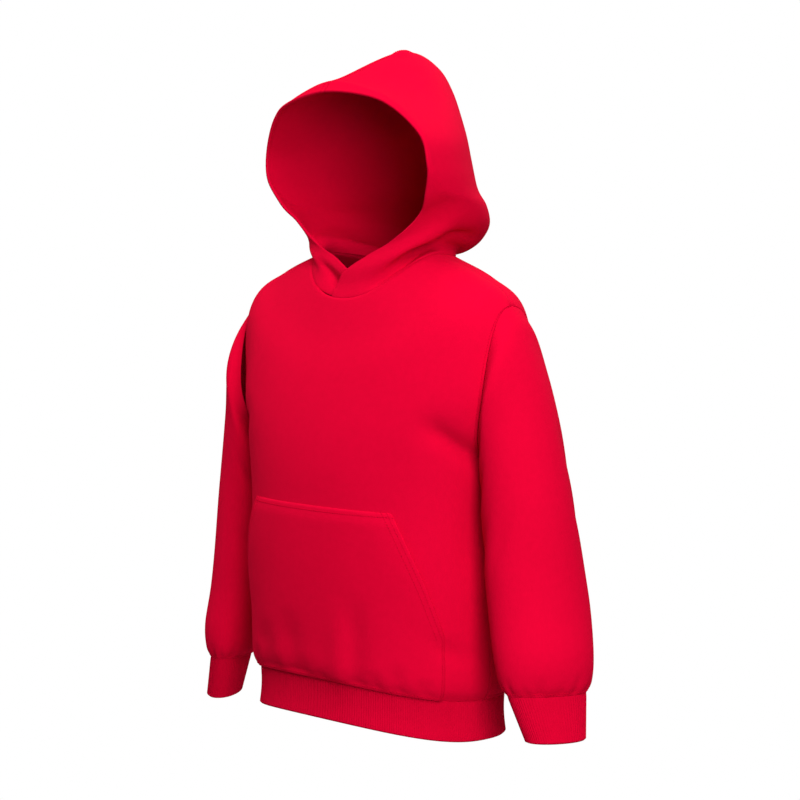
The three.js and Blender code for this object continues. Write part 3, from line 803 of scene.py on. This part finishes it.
def rib_places(length, rows):
    """Places round and down a band, and how deep the grooves between its ribs are there."""
    ribs = round(length / rib_pitch)
    columns = ribs * columns_a_rib
    turn, level = np.meshgrid(np.arange(columns) / columns, stations(rows, rib_crowd))
    hollow = rib_height * (1 - np.abs(np.cos(np.pi * ribs * turn)) ** rib_roundness)
    at_fold = height_at_fold + (1 - height_at_fold) * smooth_step(1 - level, 0, rib_folds_from)
    return turn * 360, level, hollow * smooth_step(level, 0, rib_starts_by) * at_fold


def waistband_loop(angle, level):
    top = np.array(body_rings[0], float)
    hem = top.copy()
    hem[[0, 2, 3]] = hem_half, hem_front, hem_back
    ring = top + (hem - top) * level[..., None]
    ring[..., [0, 2, 3]] -= waist_draw * np.sin(np.pi * level)[..., None]
    ring[..., 4:7] -= (band_gap + waistband_depth * level)[..., None]
    return ring_point(ring, angle)


waist_turn, waist_level, waist_hollow = rib_places(waistband_length, waistband_rows)
waist_grid = waistband_loop(waist_turn, waist_level)
waist_normals = unit(grid_normals(waist_grid, True, waistband_middle) * [1, 1, 0])
waistband = Cloth("waistband_rib", waist_grid, double_wall, waistband_middle, share=1, closed=True,
                  seams=("low",), folds=("high",), normals=waist_normals, hollow=waist_hollow)
dress(waistband, rib, "waistband")

# A cuff's two end rings, in the columns of the sleeve's own rings.
cuff_top = np.array(sleeve_rings[-1], float)
cuff_end = cuff_top + [10.5, 0, -cuff_depth, -9.5, -2, 0, 0]
cuff_reach = 40  # about how far its front lies from its middle
cuff_lift = 0.6  # the share of the drop by which its middle is raised


def cuff_loop(turn, level, drop):
    """Points on the left cuff. drop is how far its end hangs lower towards the front than in the middle."""
    ring = cuff_top + (cuff_end - cuff_top) * level[..., None]
    ring[..., 2] -= (1 - level) * band_gap
    points = turned_ring(ring, turn)
    towards_front = -(points[..., 0] - ring[..., 0] + points[..., 1] - ring[..., 1]) / cuff_reach
    points[..., 2] -= drop * level * (towards_front - cuff_lift)
    return points


cuff_turn, cuff_level, cuff_hollow = rib_places(cuff_length, cuff_rows)
for side, mirrored, cuff_drop in (("left", False, 0.5), ("right", True, 4)):
    cuff_grid = cuff_loop(cuff_turn, cuff_level, cuff_drop)
    cuff = Cloth(f"cuff_{side}_rib", cuff_grid, double_wall, cuff_middle, share=cuff_share, closed=True,
                 seams=("low",), folds=("high",), mirrored=mirrored, hollow=cuff_hollow)
    dress(cuff, rib, f"cuff_{side}")

# Camera, light and floor: the photograph's three-quarter view from the wearer's left, broad soft lights from
# both sides, from above and from behind, and a grey floor well below the hoodie.
camera_azimuth, camera_elevation = math.radians(43), math.radians(0.5)
camera_distance = 2.1
looked_at = np.array([0, 0, -0.118])
camera_back = np.array([math.sin(camera_azimuth) * math.cos(camera_elevation),
                        -math.cos(camera_azimuth) * math.cos(camera_elevation), math.sin(camera_elevation)])
camera_data = bpy.data.cameras.new("camera")
camera_data.lens = 93.1
camera_data.shift_x, camera_data.shift_y = 0.0225, -0.0388
camera = bpy.data.objects.new("camera", camera_data)
camera.location = looked_at + camera_back * camera_distance
camera.rotation_euler = (math.pi / 2 - camera_elevation, 0, camera_azimuth)
bpy.context.scene.collection.objects.link(camera)
bpy.context.scene.camera = camera

light_distance, lit_height = 2.6, -0.15

# Azimuth and elevation of each light in degrees, its width in metres and its power in watts.
soft_lights = {
    "key light": (51, 41, 1.4, 49),
    "low light": (57, 9, 1.2, 45),
    "far side light": (-75, 25, 1.4, 34),
    "top light": (12, 76, 1.4, 45),
    "back light": (180, 30, 1.4, 34),
}
for name, (azimuth, elevation, width, power) in soft_lights.items():
    data = bpy.data.lights.new(name, "AREA")
    data.shape, data.size, data.energy = "DISK", width, power
    light = bpy.data.objects.new(name, data)
    a, e = math.radians(azimuth), math.radians(elevation)
    towards = np.array([math.sin(a) * math.cos(e), -math.cos(a) * math.cos(e), math.sin(e)])
    light.location = towards * light_distance + [0, 0, lit_height]
    light.rotation_euler = (math.pi / 2 - e, 0, a)
    bpy.context.scene.collection.objects.link(light)

world = bpy.data.worlds.new("studio")
world.use_nodes = True
world.node_tree.nodes.clear()
sky = Shade(world.node_tree)
seen = sky.node("ShaderNodeLightPath", output="Is Camera Ray")
paper = sky.node("ShaderNodeBackground", inputs={"Color": (1, 1, 1, 1), "Strength": 1.0})
fill = sky.node("ShaderNodeBackground", inputs={"Color": (1, 1, 1, 1), "Strength": 0.03})
both = sky.node("ShaderNodeMixShader", inputs={0: seen, 1: fill, 2: paper})
sky.node("ShaderNodeOutputWorld", inputs={"Surface": both})
bpy.context.scene.world = world
bpy.context.scene.view_settings.view_transform = "Standard"

floor_level, floor_radius, floor_sides = -1100, 1800, 96
floor_turn = np.arange(floor_sides) * 2 * np.pi / floor_sides
floor_points = np.stack([np.cos(floor_turn) * floor_radius, np.sin(floor_turn) * floor_radius,
                         np.full(floor_sides, floor_level)], 1)
floor = make_object("floor", floor_points, np.arange(floor_sides)[None])
floor_finish = bpy.data.materials.new("grey floor")
floor_finish.use_nodes = True
floor_sockets = floor_finish.node_tree.nodes["Principled BSDF"].inputs
floor_sockets["Base Color"].default_value = (0.35, 0.35, 0.35, 1)
floor_sockets["Roughness"].default_value = 0.9
floor.data.materials.append(floor_finish)
